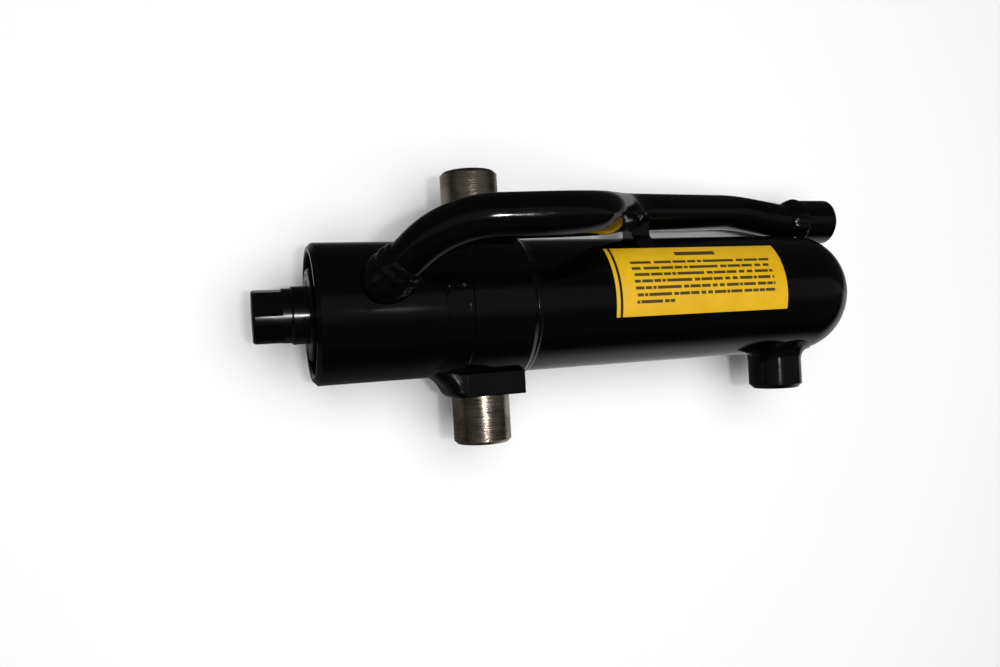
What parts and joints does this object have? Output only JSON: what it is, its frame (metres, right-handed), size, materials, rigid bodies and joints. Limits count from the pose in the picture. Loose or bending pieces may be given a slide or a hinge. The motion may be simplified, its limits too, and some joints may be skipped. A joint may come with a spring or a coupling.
{
  "type": "telescopic hydraulic cylinder",
  "caption": "Two-stage telescopic hydraulic cylinder with trunnion pins, a domed base, a base port and an outside transfer pipe to the rod end.",
  "frame": {"origin": "where the trunnion axis crosses the cylinder's axis", "axes": "+X along the cylinder towards the closed base, so the rod extends along -X; +Y along the trunnion axis towards the transfer pipe's side; +Z towards the label and the pipe's crossing over the trunnion pin"},
  "size_m": [0.4455, 0.179, 0.1436],
  "materials": {
    "gloss_black_paint": "gloss black enamel",
    "painted_weld": "gloss black enamel over weld beads",
    "turned_steel": "bare turned steel",
    "machined_steel": "machined steel",
    "rod_finish": "black over ground steel",
    "seal_polymer": "polyurethane",
    "nitrile": "nitrile rubber",
    "guide_bronze": "bronze-filled guide strip",
    "yellow_label": "printed film, yellow on black"
  },
  "bodies": {
    "barrel": {"barrel_tube": "gloss_black_paint", "base_cap": "gloss_black_paint", "trunnion_ring": "gloss_black_paint", "trunnion_pin_upper": "turned_steel", "trunnion_pin_lower": "turned_steel", "trunnion_front_weld": "painted_weld", "trunnion_rear_weld": "painted_weld", "lug_weld_upper": "painted_weld", "lug_weld_lower": "painted_weld", "base_port_boss": "gloss_black_paint", "base_port_weld": "painted_weld", "pipe_root_boss": "gloss_black_paint", "pipe_root_weld": "painted_weld", "transfer_pipe": "gloss_black_paint", "pipe_bracket": "gloss_black_paint", "retract_port_boss": "gloss_black_paint", "label": "yellow_label", "head_gland": "gloss_black_paint", "head_wiper": "seal_polymer", "head_rod_seal": "seal_polymer", "head_guide_ring": "guide_bronze", "head_o_ring": "nitrile", "head_snap_ring": "gloss_black_paint"},
    "stage": {"stage_tube": "gloss_black_paint", "stage_liner": "machined_steel", "stage_gland": "gloss_black_paint", "stage_wiper": "seal_polymer", "stage_rod_seal": "seal_polymer", "stage_guide_ring": "guide_bronze", "stage_o_ring": "nitrile", "stage_piston": "machined_steel", "stage_piston_front_wear_ring": "guide_bronze", "stage_piston_seal": "seal_polymer", "stage_piston_rear_wear_ring": "guide_bronze", "stage_stop_tube": "machined_steel"},
    "rod": {"plunger_rod": "rod_finish", "rod_piston": "machined_steel", "rod_piston_seal": "seal_polymer", "rod_piston_wear_ring": "guide_bronze", "rod_piston_nut": "machined_steel"}
  },
  "joints": [
    {"name": "stage_slide", "type": "slide", "parent": "barrel", "child": "stage", "axis": [-1, 0, 0], "range_m": [0, 0.238]},
    {"name": "rod_slide", "type": "slide", "parent": "stage", "child": "rod", "axis": [-1, 0, 0], "range_m": [0, 0.25]}
  ]
}
